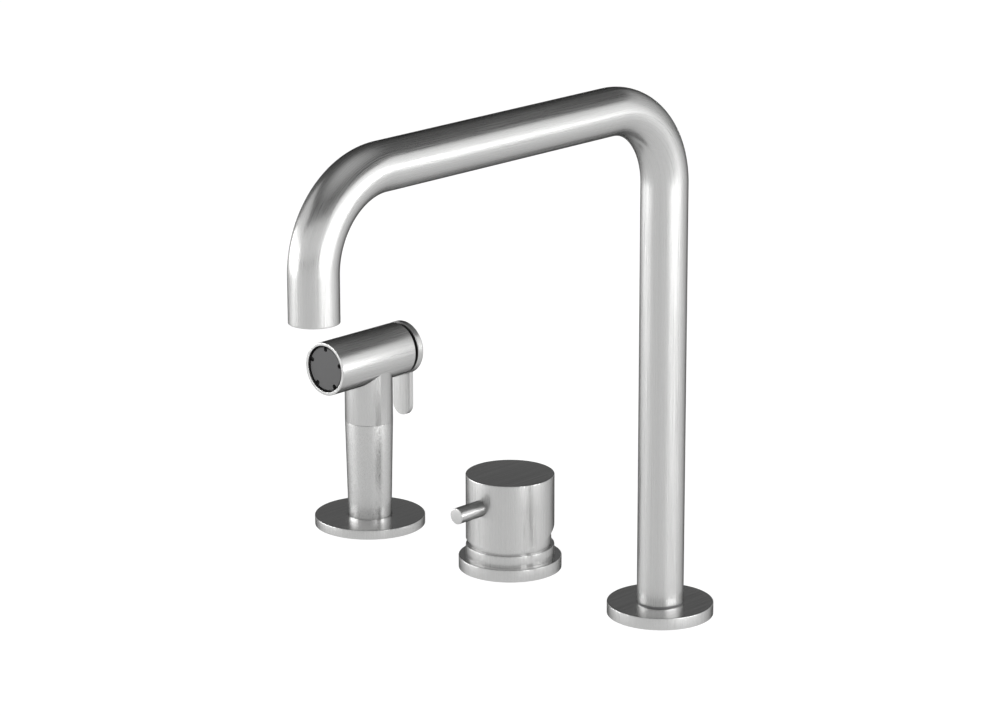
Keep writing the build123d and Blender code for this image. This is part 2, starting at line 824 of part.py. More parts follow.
def spray_body():
    """Lying head on an upright neck, with the valve chamber and the water way inside."""
    head = rod_y(head_r, head_front, head_back, z=head_z)
    head = chamfer(head.faces().sort_by(Axis.Y)[0].edges(), edge_break)
    head = chamfer(head.faces().sort_by(Axis.Y)[-1].edges(), head_chamfer)
    neck = disc(grip_top_r, grip_seam_z, head_z)
    neck = chamfer(neck.faces().sort_by(Axis.Z)[0].edges(), seam_chamfer)
    body = head + neck + disc(neck_r, neck_bottom + neck_washer_t, head_z)
    body -= rod_y(face_recess_r, head_front, recess_floor, z=head_z)
    body -= rod_y(chamber_r, recess_floor, chamber_back, z=head_z)
    body -= rod_y(rear_bore_r, chamber_back, head_back, z=head_z)
    return body - disc(water_way_r, neck_bottom, head_z)


def spray_face():
    """Round face with notches in its rim that let the water out."""
    plate_back = face_front + face_t
    plate = rod_y(face_r, face_front, plate_back, z=head_z)
    plate = chamfer(plate.faces().sort_by(Axis.Y)[0].edges(), edge_break)
    plate += rod_y(face_recess_r, plate_back, recess_floor, z=head_z)
    for notch in range(notch_count):
        turned = Pos(0, 0, head_z) * Rot(0, 360 * notch / notch_count, 0)
        outward = block((-notch_r, notch_r), (face_front, plate_back), (notch_circle, 2 * face_r))
        plate -= turned * rod_y(notch_r, face_front, recess_floor, z=notch_circle)
        plate -= turned * outward
    return plate


def valve_seat():
    seat = rod_y(chamber_r, seat_y - seat_t, seat_y, z=head_z)
    return seat - rod_y(seat_hole_r, seat_y - seat_t, seat_y, z=head_z)


def valve_seal():
    return rod_y(valve_head_r - valve_seal_edge, valve_seal_y, valve_head_y, z=head_z)


def valve_plunger():
    """Valve head, its rod and the button that the trigger pulls."""
    plunger = rod_y(valve_head_r, valve_head_y, spring_y, z=head_z)
    plunger += rod_y(rod_r, spring_y, button_y, z=head_z)
    return plunger + rod_y(button_r, button_y, button_y + button_t, z=head_z)


def valve_spring():
    coil = coil_spring(valve_spring_r, valve_wire_r, chamber_back - spring_y, valve_turns)
    return Pos(0, spring_y, head_z) * Rot(-90, 0, 0) * coil


def ear():
    """One of the two ears that hold the trigger's pin."""
    heights = (trigger_pin_z - ear_r, trigger_pin_z + ear_r)
    arm = block((-ear_t / 2, ear_t / 2), (chamber_back, trigger_pin_y), heights)
    return arm + rod_x(ear_r, ear_t, trigger_pin_y, trigger_pin_z)


def rear_plug():
    """Plug that closes the head, guides the valve rod and carries the two ears."""
    plug = rod_y(rear_bore_r, chamber_back, head_back, z=head_z)
    plug += [Pos(side * ear_x, 0, 0) * ear() for side in (-1, 1)]
    plug -= rod_y(rod_r + running_gap, chamber_back, head_back, z=head_z)
    plug -= rod_y(gland_r, chamber_back, chamber_back + 2 * gland_wire_r, z=head_z)
    return plug - rod_x(trigger_pin_r, 4 * ear_x, trigger_pin_y, trigger_pin_z)


def gland_seal():
    """O-ring around the valve rod."""
    seal = Torus(gland_r - gland_wire_r, gland_wire_r)
    return Pos(0, chamber_back + gland_wire_r, head_z) * Rot(90, 0, 0) * seal


def trigger_pin():
    length = 2 * ear_x + ear_t - edge_break
    return rod_x(trigger_pin_r, length, trigger_pin_y, trigger_pin_z)


# ---- side spray: trigger ----
def paddle():
    """Flat strip that hangs from the cap, with a round lower end."""
    half = paddle_w / 2
    front = cap_back - paddle_t
    strip = block((-half, half), (front, cap_back), (paddle_bottom + half, head_z - half))
    strip += rod_y(half, front, cap_back, z=paddle_bottom + half)
    back_face = strip.faces().sort_by(Axis.Y)[-1]
    return fillet(back_face.edges(), edge_break)


def tongue():
    """Middle lug of the trigger's hinge."""
    heights = (trigger_pin_z - ear_r, trigger_pin_z + ear_r)
    lug = block((-tongue_w / 2, tongue_w / 2), (trigger_pin_y, pocket_floor), heights)
    return lug + rod_x(ear_r, tongue_w, trigger_pin_y, trigger_pin_z)


def button_keyhole():
    """Keyhole slot in the cap's front that holds the valve rod's button."""
    slot_half_w = rod_r + button_play / 2
    top = head_z + keyhole_rise
    room = rod_y(button_r + button_play, cap_front + cap_web, button_room_back, z=head_z)
    room += block(
        (-slot_half_w, slot_half_w), (cap_front, button_room_back), (head_z - rod_r - button_play, top)
    )
    return room + rod_y(button_r + button_play / 2, cap_front, button_room_back, z=top)


def trigger():
    """Round rear cap and hanging paddle in one piece, rocking on the pin."""
    cap = rod_y(head_r + cap_overhang, cap_front, cap_back, z=head_z)
    cap = fillet(cap.faces().sort_by(Axis.Y)[-1].edges(), cap_round)
    cap = chamfer(cap.faces().sort_by(Axis.Y)[0].edges(), edge_break)
    heights = (trigger_pin_z - pocket_half_h, trigger_pin_z + pocket_half_h)
    lever = cap + paddle()
    lever -= block((-pocket_half_w, pocket_half_w), (head_back, pocket_floor), heights)
    lever += tongue()
    lever -= button_keyhole()
    return lever - rod_x(trigger_pin_r + running_gap, 2 * tongue_w, trigger_pin_y, trigger_pin_z)


# ---- write every node ----
os.makedirs("parts", exist_ok=True)

rubber_top = -deck_thickness
steel_top = rubber_top - rubber_washer_t
nut_top = steel_top - steel_washer_t
unit_flanges = ((0, spout_flange_r), (control_x, control_flange_r), (spray_x, spray_flange_r))
save_group("deck_gaskets", [Pos(x, 0, 0) * deck_gasket(flange_r) for x, flange_r in unit_flanges])
save_group("rubber_washers", under_each_unit(deck_washer(rubber_washer_width, rubber_top, rubber_washer_t)))
save_group("steel_washers", under_each_unit(deck_washer(steel_washer_width, steel_top, steel_washer_t)))
save_group("lock_nuts", under_each_unit(lock_nut(nut_top)))

save("spout_tube", spout_tube())
save("spout_flange", spout_flange())
save("spout_shank", spout_shank())
save("swivel_washer", swivel_washer())
save("swivel_bush", swivel_bush())
save("swivel_stop_screw", swivel_stop_screw())
save_group("swivel_seals", swivel_seals())
save("aerator_housing", aerator_housing())
save("aerator_plate", aerator_plate())
save("aerator_seal", aerator_seal())
save("diverter_cage", diverter_cage())
save("diverter_poppet", diverter_poppet())
save("diverter_seal", diverter_seal())
save("diverter_spring", diverter_spring())
save("cap_gasket", cap_gasket())
save("spout_cap", spout_cap())
save("spout_inlet_tail", spout_tail(1))
save("spray_outlet_tail", spout_tail(-1))

save("control_flange", control_flange(), control_x)
save("body_collar", body_collar(), control_x)
save("valve_body", valve_body(), control_x)
save("cartridge_cover", cartridge_cover(), control_x)
save("clamp_nut", clamp_nut(), control_x)
save("cartridge_housing", cartridge_housing(), control_x)
save("cartridge_base", cartridge_base(), control_x)
save("cartridge_gasket", cartridge_gasket(), control_x)
save("fixed_disc", fixed_disc(), control_x)
save("moving_disc", moving_disc(), control_x)
save("disc_driver", disc_driver(), control_x)
save("spindle", spindle(), control_x)
save("stem_pin", stem_pin(), control_x)
save("cartridge_stem", cartridge_stem(), control_x)
save("knob", knob(), control_x)
save("lever_rod", lever_rod(), control_x)
save("knob_screw", knob_screw(), control_x)
save("knob_plug", knob_plug(), control_x)
save_group("supply_tails", [hose_tail(shank_bottom, control_x + x, y) for x, y in tail_places[:2]])
save("mixed_tail", hose_tail(shank_bottom, *tail_places[2]), control_x)

save("spray_flange", spray_flange(), spray_x)
save("spray_shank", spray_shank(), spray_x)
save("guide_sleeve", guide_sleeve(), spray_x)
save("handle_grip", handle_grip(), spray_x)
save("neck_washer", neck_washer(), spray_x)
save("hose_connector", hose_connector(), spray_x)
save("spray_body", spray_body(), spray_x)
save("spray_face", spray_face(), spray_x)
save("valve_seat", valve_seat(), spray_x)
save("valve_seal", valve_seal(), spray_x)
save("valve_plunger", valve_plunger(), spray_x)
save("valve_spring", valve_spring(), spray_x)
save("rear_plug", rear_plug(), spray_x)
save("gland_seal", gland_seal(), spray_x)
save("trigger_pin", trigger_pin(), spray_x)
save("trigger", trigger(), spray_x)
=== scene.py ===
# Side spray faucet in brushed steel: spout, mixer control and pull-out spray on a pale floor.
import json
from math import atan2, cos, pi, radians, sin

import bmesh
import bpy
import numpy as np
from mathutils import Matrix, Vector


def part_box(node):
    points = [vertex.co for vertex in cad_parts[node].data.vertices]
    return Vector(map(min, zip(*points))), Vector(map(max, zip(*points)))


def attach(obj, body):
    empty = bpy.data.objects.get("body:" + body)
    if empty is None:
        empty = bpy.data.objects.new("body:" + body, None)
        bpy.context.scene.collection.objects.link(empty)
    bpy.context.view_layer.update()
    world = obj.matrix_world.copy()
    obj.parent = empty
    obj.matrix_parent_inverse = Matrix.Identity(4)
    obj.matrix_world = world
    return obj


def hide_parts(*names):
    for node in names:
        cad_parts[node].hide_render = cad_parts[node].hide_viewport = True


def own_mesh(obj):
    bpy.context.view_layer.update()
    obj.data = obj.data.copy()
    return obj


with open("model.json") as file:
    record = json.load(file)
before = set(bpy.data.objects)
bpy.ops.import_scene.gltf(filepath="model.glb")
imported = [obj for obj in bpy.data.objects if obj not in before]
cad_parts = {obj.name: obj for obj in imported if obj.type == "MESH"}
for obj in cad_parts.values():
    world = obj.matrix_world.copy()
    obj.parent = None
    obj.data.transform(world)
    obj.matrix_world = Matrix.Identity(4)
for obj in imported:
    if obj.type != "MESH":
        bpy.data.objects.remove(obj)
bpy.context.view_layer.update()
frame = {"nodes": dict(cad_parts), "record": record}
print("frame loaded:", len(frame["nodes"]), "nodes")

mm = 0.001
row = {"controlX": -0.110, "sprayX": -0.220}  # the spout stands at 0
squeeze = 0.001  # a brush streak is 1000 times longer than wide
mergeGap = 1e-6  # vertices nearer than this are one
sharpAngle = 32  # edges over this many degrees stay sharp
cornerSteps = 6  # pieces of a rounded corner
facingEnd = 0.9  # a normal that lies this much along an axis belongs to an end face
facingUp = 0.99  # and this much upwards, to a flat top


# where the camera stands, from the outlines of the real object; angles in degrees
cameraSet = {
    "azimuth": 43.4337,  # to the right of the front
    "elevation": 16.2165,
    "roll": -0.0948,
    "aim": (0.0, -0.100, 0.170),
    "across": 0.01653,  # the camera is this far to the left of the line to the aim
    "above": 0.007025,  # and this far below it
    "distance": 1.93805,
    "focalPixels": 3843.79,
    "imageWidth": 1000,
    "sensor": 36.0,
    "farEnd": 30,
}


def makeCamera(settings):
    # ahead follows from turn and lift, side is level, top is square to both, and the roll turns side and top
    turn, lift, roll = (radians(settings[key]) for key in ("azimuth", "elevation", "roll"))
    ahead = np.array([-sin(turn) * cos(lift), cos(turn) * cos(lift), -sin(lift)])
    side = np.array([cos(turn), sin(turn), 0.0])
    top = np.cross(side, ahead)
    side, top = side * cos(roll) + top * sin(roll), top * cos(roll) - side * sin(roll)
    place = np.array(settings["aim"]) - ahead * settings["distance"]
    place = place - side * settings["across"] - top * settings["above"]
    data = bpy.data.cameras.new("photoCamera")
    data.sensor_width = settings["sensor"]
    data.lens = settings["focalPixels"] / settings["imageWidth"] * settings["sensor"]
    data.clip_end = settings["farEnd"]
    camera = bpy.data.objects.new("photoCamera", data)
    axes = np.eye(4)
    axes[:3, 0], axes[:3, 1], axes[:3, 2], axes[:3, 3] = side, top, -ahead, place
    camera.matrix_world = Matrix(axes.tolist())
    bpy.context.scene.collection.objects.link(camera)
    bpy.context.scene.camera = camera


makeCamera(cameraSet)
print("camera placed")


class Wire:
    # one socket; sums on wires add their Math nodes
    def __init__(self, tree, socket):
        self.tree = tree
        self.socket = socket

    def node(self, kind, settings, inputs, output=0):
        made = self.tree.nodes.new(kind)
        for key, value in settings.items():
            if key == "stops":
                setStops(made.color_ramp, value)
            else:
                setattr(made, key, value)
        for key, value in inputs.items():
            if isinstance(value, Wire):
                self.tree.links.new(value.socket, made.inputs[key])
            else:
                made.inputs[key].default_value = value
        return Wire(self.tree, made.outputs[output]) if len(made.outputs) else None

    def maths(self, operation, first, second):
        return self.node("ShaderNodeMath", {"operation": operation}, {0: first, 1: second})

    def __add__(self, other):
        return self.maths("ADD", self, other)

    def __radd__(self, other):
        return self.maths("ADD", other, self)

    def __sub__(self, other):
        return self.maths("SUBTRACT", self, other)

    def __rsub__(self, other):
        return self.maths("SUBTRACT", other, self)

    def __mul__(self, other):
        return self.maths("MULTIPLY", self, other)

    def __rmul__(self, other):
        return self.maths("MULTIPLY", other, self)


def setStops(ramp, stops):
    # stops are (place, grey value)
    while len(ramp.elements) < len(stops):
        ramp.elements.new(1.0)
    for element, (place, value) in zip(ramp.elements, stops):
        element.position = place
        element.color = (value, value, value, 1)


def newMaterial(name):
    material = bpy.data.materials.new(name)
    material.use_nodes = True
    material.node_tree.nodes.clear()
    return material, Wire(material.node_tree, None)


def endMaterial(start, shader):
    start.node("ShaderNodeOutputMaterial", {}, {"Surface": shader})


# brushed steel: upright and round walls, whose black edge tint paints shade on grazing edges, and a lighter,
# smoother copy for flat tops, which paints light and shade on faces that look up
wallSteel = {
    "base": (0.45, 0.45, 0.447),
    # painted shade: a black edge tint darkens the steel at grazing angles, for dark reflections on the edges
    "edgeTint": (0.0, 0.0, 0.0, 1),
    "polished": 0.14,  # roughness of the smoothest streaks
    "scratched": 0.34,  # what the roughest streaks have more
    "colourSpread": 0.10,
    "fineScale": 22000,  # noise cells to the metre, across the brushing
    "fineDetail": 3.0,
    "fineShare": 0.6,  # of the fine noise in the colour, to 1 of the broad
    "broadScale": 1300,
    "broadDetail": 2.0,
    "scratchStops": [(0.34, 0.0), (0.66, 1.0)],
    "bump": 0.01,
    "bumpDepth": 0.00002,
}
# painted light and shade: the copy for faces that look up has a lighter base, a white edge tint, less roughness
# and far stronger streaks
paintedLightTopSteel = dict(
    wallSteel,
    base=(0.56, 0.56, 0.557),
    edgeTint=(1.0, 1.0, 1.0, 1),
    polished=0.12,
    scratched=0.14,
    colourSpread=0.7,
)


def steelFinish(name, settings, stretch=None):
    # streaks are noise on brush coordinates, which are squeezed along the brushing:
    # colour = base x (1 + spread x streak), roughness = polished + scratched x the fine noise between its stops
    material, start = newMaterial(name)
    if stretch:
        place = start.node("ShaderNodeTexCoord", {}, {}, "Object")
        brush = start.node("ShaderNodeVectorMath", {"operation": "MULTIPLY"}, {0: place, 1: stretch})
    else:
        brush = start.node("ShaderNodeAttribute", {"attribute_name": "brush"}, {}, "Vector")
    fine, broad = (
        start.node(
            "ShaderNodeTexNoise",
            {},
            {"Vector": brush, "Scale": settings[size + "Scale"], "Detail": settings[size + "Detail"]},
        )
        for size in ("fine", "broad")
    )
    streak = (fine - 0.5) * settings["fineShare"] + (broad - 0.5)
    shade = 1.0 + streak * settings["colourSpread"]
    base = start.node(
        "ShaderNodeVectorMath", {"operation": "SCALE"}, {"Vector": settings["base"], "Scale": shade}
    )
    scratch = start.node("ShaderNodeValToRGB", {"stops": settings["scratchStops"]}, {"Fac": fine})
    rough = settings["polished"] + scratch * settings["scratched"]
    bump = start.node(
        "ShaderNodeBump",
        {},
        {"Height": fine, "Strength": settings["bump"], "Distance": settings["bumpDepth"]},
    )
    shader = start.node(
        "ShaderNodeBsdfPrincipled",
        {},
        {
            "Base Color": base,
            "Metallic": 1.0,
            "Roughness": rough,
            "Specular Tint": settings["edgeTint"],
            "Normal": bump,
        },
    )
    endMaterial(start, shader)
    return material


# moulded and turned stuff; what all of it shares comes first
grainSet = {"mottleScale": 180.0, "detail": 2.0, "roughSpread": 0.1, "bumpDepth": 0.00005}
plainSets = {
    "brass": {
        "base": (0.64, 0.48, 0.25), "metallic": 1.0, "roughness": 0.3,
        "mottle": 0.1, "grainScale": 3000.0, "bump": 0.05,
    },
    "rubber": {
        "base": (0.022, 0.022, 0.023), "metallic": 0.0, "roughness": 0.62,
        "mottle": 0.2, "grainScale": 2500.0, "bump": 0.2,
    },
    "nylon": {
        "base": (0.80, 0.80, 0.77), "metallic": 0.0, "roughness": 0.45,
        "mottle": 0.06, "grainScale": 2500.0, "bump": 0.1,
    },
    "grey_plastic": {
        "base": (0.045, 0.045, 0.046), "metallic": 0.0, "roughness": 0.5,
        "mottle": 0.1, "grainScale": 3000.0, "bump": 0.1,
    },
    "black_plastic": {
        "base": (0.012, 0.012, 0.013), "metallic": 0.0, "roughness": 0.4,
        "mottle": 0.2, "grainScale": 3000.0, "bump": 0.1,
    },
    "ceramic": {
        "base": (0.88, 0.87, 0.83), "metallic": 0.0, "roughness": 0.12,
        "mottle": 0.04, "grainScale": 4000.0, "bump": 0.02,
    },
    "darkNylon": {
        "base": (0.13, 0.13, 0.132), "metallic": 0.0, "roughness": 0.5,
        "mottle": 0.1, "grainScale": 2500.0, "bump": 0.1,
    },
}


def plainFinish(name, settings, grainSettings):
    # colour = base x (1 + mottle x slow noise), roughness and bump follow a fine noise
    material, start = newMaterial(name)
    place = start.node("ShaderNodeTexCoord", {}, {}, "Object")
    slow, grain = (
        start.node(
            "ShaderNodeTexNoise", {}, {"Vector": place, "Scale": scale, "Detail": grainSettings["detail"]}
        )
        for scale in (grainSettings["mottleScale"], settings["grainScale"])
    )
    shade = 1.0 + (slow - 0.5) * settings["mottle"]
    base = start.node(
        "ShaderNodeVectorMath", {"operation": "SCALE"}, {"Vector": settings["base"], "Scale": shade}
    )
    rough = settings["roughness"] + (grain - 0.5) * grainSettings["roughSpread"]
    bump = start.node(
        "ShaderNodeBump",
        {},
        {"Height": grain, "Strength": settings["bump"], "Distance": grainSettings["bumpDepth"]},
    )
    shader = start.node(
        "ShaderNodeBsdfPrincipled",
        {},
        {"Base Color": base, "Metallic": settings["metallic"], "Roughness": rough, "Normal": bump},
    )
    endMaterial(start, shader)
    return material


steel = steelFinish("brushedSteel", wallSteel)
# the second steel paints light and shade on faces that look up
paintedLightTop = steelFinish("brushedSteelPaintedLightTop", paintedLightTopSteel)
uprightSteel = steelFinish("uprightBrushedSteel", wallSteel, (1, 1, squeeze))
finishes = {name: plainFinish(name + "Finish", settings, grainSet) for name, settings in plainSets.items()}
finishes["steel"] = uprightSteel

slotOf = {entry["node"]: entry["material_slot"] for entry in frame["record"]["subparts"]}
for name, node in frame["nodes"].items():
    for slot in node.material_slots:
        slot.material = finishes[slotOf[name]]
for slot in frame["nodes"]["swivel_washer"].material_slots:
    slot.material = finishes["darkNylon"]  # seen as a dark line under the spout's tube
print("finishes made")


def roundedLine(corners):
    # a line through corners (a, b, rounding); a rounding is an arc that touches both sides, and its middle
    # lies on the corner's halving line, rounding / sin(half the corner's angle) away
    points = []
    for i, (a, b, size) in enumerate(corners):
        here = np.array([a, b], float)
        if size <= 0 or i in (0, len(corners) - 1):
            points.append(here[None])
            continue
        back = np.array(corners[i - 1][:2], float) - here
        on = np.array(corners[i + 1][:2], float) - here
        back, on = back / np.linalg.norm(back), on / np.linalg.norm(on)
        half = np.arccos(np.clip(back @ on, -1, 1)) / 2
        middle = here + (back + on) / np.linalg.norm(back + on) * size / sin(half)
        first = here + back * size / np.tan(half) - middle
        last = here + on * size / np.tan(half) - middle
        start = atan2(first[1], first[0])
        sweep = (atan2(last[1], last[0]) - start + pi) % (2 * pi) - pi
        angles = start + sweep * np.linspace(0, 1, cornerSteps + 1)
        points.append(middle + size * np.stack([np.cos(angles), np.sin(angles)], 1))
    return np.concatenate(points)


def gridFaces(rows, columns, closedRows):
    # quads between neighbours of a grid whose columns join round, and its rows where they are closed
    down = np.arange(rows if closedRows else rows - 1)
    i, j = np.meshgrid(down, np.arange(columns), indexing="ij")
    nextI, nextJ = (i + 1) % rows, (j + 1) % columns
    quads = [i * columns + j, i * columns + nextJ, nextI * columns + nextJ, nextI * columns + j]
    return np.stack(quads, -1).reshape(-1, 4)


def cleanMesh(mesh):
    # doubles and slivers merged, faces outwards
    work = bmesh.new()
    work.from_mesh(mesh)
    bmesh.ops.remove_doubles(work, verts=work.verts, dist=mergeGap)
    bmesh.ops.dissolve_degenerate(work, edges=work.edges, dist=mergeGap)
    bmesh.ops.recalc_face_normals(work, faces=work.faces)
    work.to_mesh(mesh)
    work.free()


def smoothPiece(piece):
    piece.data.shade_smooth()
    piece.data.set_sharp_from_angle(angle=radians(sharpAngle))


def newPiece(name, points, faces):
    # a mesh from arrays, cleaned, and smooth but for its sharp edges
    mesh = bpy.data.meshes.new(name)
    mesh.from_pydata(points.reshape(-1, 3).tolist(), [], faces.tolist())
    cleanMesh(mesh)
    piece = bpy.data.objects.new(name, mesh)
    bpy.context.scene.collection.objects.link(piece)
    smoothPiece(piece)
    return piece


def turned(name, line, centre, segments, closed=False, along="z"):
    # a line of (radius, height) turned round an axis through centre: (radius cos a, radius sin a, height)
    angles = np.linspace(0, 2 * pi, segments, endpoint=False)
    radius, height = line[:, 0:1], line[:, 1:2] + 0 * angles[None]
    ring = np.stack([radius * np.cos(angles), radius * np.sin(angles), height], -1)
    if along == "y":
        ring = ring[..., [0, 2, 1]]
    return newPiece(name, ring + np.array(centre), gridFaces(len(line), segments, closed))


def cutBy(piece, tool, operation="DIFFERENCE"):
    # exact boolean, applied, and the tool removed
    step = piece.modifiers.new("cut", "BOOLEAN")
    step.operation, step.solver, step.object = operation, "EXACT", tool
    bpy.context.view_layer.update()
    made = bpy.data.meshes.new_from_object(piece.evaluated_get(bpy.context.evaluated_depsgraph_get()))
    piece.modifiers.clear()
    cleanMesh(made)
    piece.data = made
    bpy.data.objects.remove(tool)
    smoothPiece(piece)


def faceNormals(mesh):
    normals = np.zeros(len(mesh.polygons) * 3)
    mesh.polygons.foreach_get("normal", normals)
    return normals.reshape(-1, 3)


def meshArrays(mesh):
    # the vertices, and for each corner of each face its vertex and the face's normal
    points = np.zeros(len(mesh.vertices) * 3)
    mesh.vertices.foreach_get("co", points)
    corners = np.zeros(len(mesh.loops), int)
    mesh.loops.foreach_get("vertex_index", corners)
    sizes = np.zeros(len(mesh.polygons), int)
    mesh.polygons.foreach_get("loop_total", sizes)
    return points.reshape(-1, 3), corners, np.repeat(faceNormals(mesh), sizes, axis=0)


def writeBrush(mesh, values):
    # brush coordinates, one for each corner of each face
    layer = mesh.attributes.new("brush", "FLOAT_VECTOR", "CORNER")
    layer.data.foreach_set("vector", values.astype(np.float32).ravel())


def brushAlong(piece, axis, endAxis):
    # brush coordinates are the place, squeezed along the brushing: axis on walls, endAxis on end faces
    points, corners, normals = meshArrays(piece.data)
    values = points[corners]
    isEnd = np.abs(normals[:, axis]) > facingEnd
    values[~isEnd, axis] *= squeeze
    values[isEnd, endAxis] *= squeeze
    writeBrush(piece.data, values)


def finishSteel(piece, body, node, paintedLightTops=False):
    # wall steel all over, and the steel with painted light and shade on the tops where a face looks up
    mesh = piece.data
    mesh.materials.clear()
    mesh.materials.append(steel)
    if paintedLightTops:
        mesh.materials.append(paintedLightTop)
        # painted light and shade: faces that look up take the second steel
        paintedLightMask = faceNormals(mesh)[:, 2] > facingUp
        mesh.polygons.foreach_set("material_index", paintedLightMask.astype(np.int32))
    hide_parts(node)
    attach(piece, body)


# the spout's tube, with a hole for the stop screw at the back of its foot
tubeSet = {
    "radius": 12.5 * mm,
    "wall": 1.5 * mm,
    "height": 280.5 * mm,  # of the level stretch's centre line
    "reach": 252.0 * mm,
    "bend": 45.0 * mm,
    "bottom": 7.1 * mm,
    "outlet": 212.5 * mm,
    "edge": 0.25 * mm,
    "rimDepth": 1.0 * mm,  # the rounded ends are worked out over this length
    "ringGap": 0.01 * mm,
    "segments": 144,
    "bendSteps": 49,
    "longSteps": 40,
    "outletSteps": 8,
    "leastStep": 1e-7,
    "screwRadius": 2.5 * mm,
    "screwZ": 17.0 * mm,
    "screwHole": (8 * mm, 15 * mm),
    "screwSegments": 48,
    "searchParts": 40,  # vertices are matched with the centre line in this many lots
}


def spoutPath(settings):
    # the centre line: up, a quarter circle forward, level, a quarter circle down, down;
    # length is the sum of its steps, and the heading is the change of place with length
    bend, top, reach = settings["bend"], settings["height"], settings["reach"]
    turn = np.linspace(0, pi / 2, settings["bendSteps"])
    up = np.linspace(settings["bottom"], top - bend, settings["longSteps"])
    level = np.linspace(-bend, bend - reach, settings["longSteps"])
    down = np.linspace(top - bend, settings["outlet"], settings["outletSteps"])
    y = np.concatenate([
        0 * up, bend * (np.cos(turn) - 1), level, bend - reach - bend * np.sin(turn), 0 * down - reach,
    ])
    z = np.concatenate([
        up, top - bend + bend * np.sin(turn), 0 * level + top, top - bend + bend * np.cos(turn), down,
    ])
    line = np.stack([0 * y, y, z], 1)
    steps = np.linalg.norm(np.diff(line, axis=0), axis=1)
    line = line[np.concatenate([[True], steps > settings["leastStep"]])]
    length = np.concatenate([[0], np.cumsum(np.linalg.norm(np.diff(line, axis=0), axis=1))])
    heading = np.gradient(line, length, axis=0)
    heading[0], heading[-1] = (0, 0, 1), (0, 0, -1)
    heading /= np.linalg.norm(heading, axis=1)[:, None]
    return line, length, heading


def makeSpoutTube(settings):
    # rings round the centre line, out along the outside, over the rounded rim and back inside:
    # a point is the place + radius x (side cos a + other sin a)
    line, length, heading = spoutPath(settings)
    edge, depth, total = settings["edge"], settings["rimDepth"], length[-1]
    outer, inner = settings["radius"], settings["radius"] - settings["wall"]
    rim = roundedLine([
        (outer, total - depth, 0), (outer, total, edge), (inner, total, edge), (inner, total - depth, 0),
    ])
    foot = roundedLine([(inner, depth, 0), (inner, 0, edge), (outer, 0, edge), (outer, depth, 0)])
    clear = depth + settings["ringGap"]
    between = length[(length > clear) & (length < total - clear)]
    radius = np.concatenate([0 * between + outer, rim[:, 0], 0 * between + inner, foot[:, 0]])
    along = np.concatenate([between, rim[:, 1], between[::-1], foot[:, 1]])
    place = np.stack([np.interp(along, length, line[:, k]) for k in range(3)], 1)
    ahead = np.stack([np.interp(along, length, heading[:, k]) for k in range(3)], 1)
    ahead /= np.linalg.norm(ahead, axis=1)[:, None]
    side = np.array([1.0, 0, 0]) + 0 * ahead
    other = np.cross(ahead, side)
    angles = np.linspace(0, 2 * pi, settings["segments"], endpoint=False)[None, :, None]
    spokes = np.cos(angles) * side[:, None] + np.sin(angles) * other[:, None]
    rings = place[:, None] + radius[:, None, None] * spokes
    tube = newPiece("spoutTube", rings, gridFaces(len(along), settings["segments"], True))

    size, (low, high) = settings["screwRadius"], settings["screwHole"]
    drill = np.array([(0, low), (size, low), (size, high), (0, high)])
    cutBy(tube, turned("holeTool", drill, (0, 0, settings["screwZ"]), settings["screwSegments"], along="y"))

    # brush coordinates: across, up from the centre line, and the length along it, squeezed
    points, corners, normals = meshArrays(tube.data)
    lots = np.array_split(points, settings["searchParts"])
    nearest = np.concatenate([np.argmin(((lot[:, None] - line) ** 2).sum(-1), 1) for lot in lots])
    offset, ahead = points - line[nearest], heading[nearest]
    slip = (offset * ahead).sum(1)
    other = np.cross(ahead, np.array([1.0, 0, 0]))
    brush = np.stack([offset[:, 0], (offset * other).sum(1), (length[nearest] + slip) * squeeze], 1)
    writeBrush(tube.data, brush[corners])
    finishSteel(tube, "spout", "spout_tube")


makeSpoutTube(tubeSet)
print("spout tube made")


# deck flanges: a plate with a recess under it, which leaves a rim at the foot
flangeShape = {
    "topEdge": 0.4 * mm, "boreEdge": 0.12 * mm, "footEdge": 0.15 * mm,
    "rim": 4 * mm, "recess": 1.5 * mm, "segments": 256,
}
flangeSets = [
    {
        "name": "spoutFlangePlate", "node": "spout_flange", "x": 0.0,
        "radius": 28.5 * mm, "thick": 6.5 * mm, "bore": 9.0 * mm,
    },
    {
        "name": "controlFlangePlate", "node": "control_flange", "x": row["controlX"],
        "radius": 28.5 * mm, "thick": 6.9 * mm, "bore": 16.6 * mm,
    },
    {
        "name": "sprayFlangePlate", "node": "spray_flange", "x": row["sprayX"],
        "radius": 31.5 * mm, "thick": 5.3 * mm, "bore": 12.68 * mm,
    },
]


def makeFlange(settings, shape):
    # a closed outline turned about the unit's upright axis, from the bore over the top to the rim's foot
    radius, thick, bore = settings["radius"], settings["thick"], settings["bore"]
    inside, recess = radius - shape["rim"], shape["recess"]
    line = roundedLine([
        (bore, recess, 0), (bore, thick, shape["boreEdge"]), (radius, thick, shape["topEdge"]),
        (radius, 0, shape["footEdge"]), (inside, 0, 0), (inside, recess, 0),
    ])
    plate = turned(settings["name"], line, (settings["x"], 0, 0), shape["segments"], closed=True)
    brushAlong(plate, 2, 1)
    finishSteel(plate, "deck_units", settings["node"], paintedLightTops=True)


for flangeSet in flangeSets:
    makeFlange(flangeSet, flangeShape)


# the control's collar; the line ends a step past its foot's edge, so that the edge is rounded
collarSet = {
    "radius": 24.5 * mm, "bottom": 6.9 * mm, "top": 13.4 * mm, "bore": 16.6 * mm,
    "edge": 0.4 * mm, "footEdge": 0.1 * mm, "footStep": 1 * mm, "segments": 256,
}


